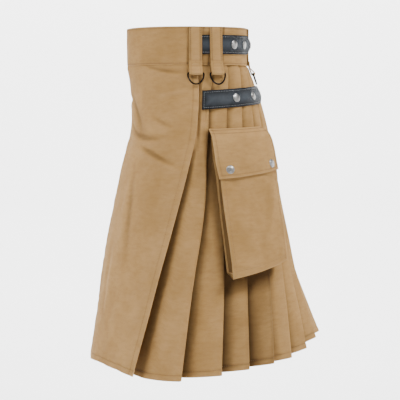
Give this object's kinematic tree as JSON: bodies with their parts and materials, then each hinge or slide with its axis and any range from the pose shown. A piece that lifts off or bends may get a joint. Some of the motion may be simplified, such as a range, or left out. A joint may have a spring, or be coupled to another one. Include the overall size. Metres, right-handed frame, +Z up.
{
  "type": "gothic kilt",
  "caption": "Knee-length khaki utility kilt, hollow as worn, with a flat front apron, knife pleats, leather snap straps, D-ring loops and bellows pockets.",
  "frame": {"origin": "centre of the waist opening, at half the waistband's height", "axes": "+Z up, -Y the front, +X the wearer's left"},
  "size_m": [0.4685, 0.4258, 0.61],
  "materials": {
    "canvas": "heavy cotton twill, matt",
    "leather": "black grained leather, satin",
    "ring_metal": "black nickel, glossy",
    "snap_metal": "nickel, satin"
  },
  "bodies": {
    "root": {"waistband_front": "canvas", "waistband_back": "canvas", "waistband_under": "canvas", "apron_outer": "canvas", "apron_under": "canvas", "pleats_left": "canvas", "pleats_left_back": "canvas", "pleats_right_back": "canvas", "pleats_right": "canvas", "pocket_left": "canvas", "pocket_right": "canvas", "flap_left": "canvas", "flap_right": "canvas", "loop_left_front": "canvas", "loop_left_rear": "canvas", "loop_back_left": "canvas", "loop_back_right": "canvas", "loop_right_rear": "canvas", "loop_right_front": "canvas", "strap_waist_left": "leather", "strap_waist_right": "leather", "strap_hip_left": "leather", "strap_hip_right": "leather", "stud_waist_left_1": "snap_metal", "stud_waist_left_2": "snap_metal", "stud_hip_left_1": "snap_metal", "stud_hip_left_2": "snap_metal", "stud_flap_left_1": "snap_metal", "stud_flap_left_2": "snap_metal", "stud_waist_right_1": "snap_metal", "stud_waist_right_2": "snap_metal", "stud_hip_right_1": "snap_metal", "stud_hip_right_2": "snap_metal", "stud_flap_right_1": "snap_metal", "stud_flap_right_2": "snap_metal"},
    "ring_left_front": {"ring_left_front": "ring_metal"},
    "ring_left_rear": {"ring_left_rear": "ring_metal"},
    "ring_back_left": {"ring_back_left": "ring_metal"},
    "ring_back_right": {"ring_back_right": "ring_metal"},
    "ring_right_rear": {"ring_right_rear": "ring_metal"},
    "ring_right_front": {"ring_right_front": "ring_metal"}
  },
  "joints": [
    {"name": "hinge_left_front", "type": "hinge", "parent": "root", "child": "ring_left_front", "pos_m": [0.15116, 0.00306, -0.04796], "axis": [0.0065, -1, 0], "range_deg": [0, 140]},
    {"name": "hinge_left_rear", "type": "hinge", "parent": "root", "child": "ring_left_rear", "pos_m": [0.14416, 0.04224, -0.04792], "axis": [0.2754, -0.9613, 0], "range_deg": [0, 140]},
    {"name": "hinge_back_left", "type": "hinge", "parent": "root", "child": "ring_back_left", "pos_m": [0.04898, 0.11686, -0.04771], "axis": [0.9875, -0.1576, 0], "range_deg": [0, 140]},
    {"name": "hinge_back_right", "type": "hinge", "parent": "root", "child": "ring_back_right", "pos_m": [-0.04898, 0.11686, -0.04771], "axis": [0.9875, 0.1576, 0], "range_deg": [0, 140]},
    {"name": "hinge_right_rear", "type": "hinge", "parent": "root", "child": "ring_right_rear", "pos_m": [-0.14416, 0.04224, -0.04792], "axis": [0.2754, 0.9613, 0], "range_deg": [0, 140]},
    {"name": "hinge_right_front", "type": "hinge", "parent": "root", "child": "ring_right_front", "pos_m": [-0.15116, 0.00306, -0.04796], "axis": [0.0065, 1, 0], "range_deg": [0, 140]}
  ]
}
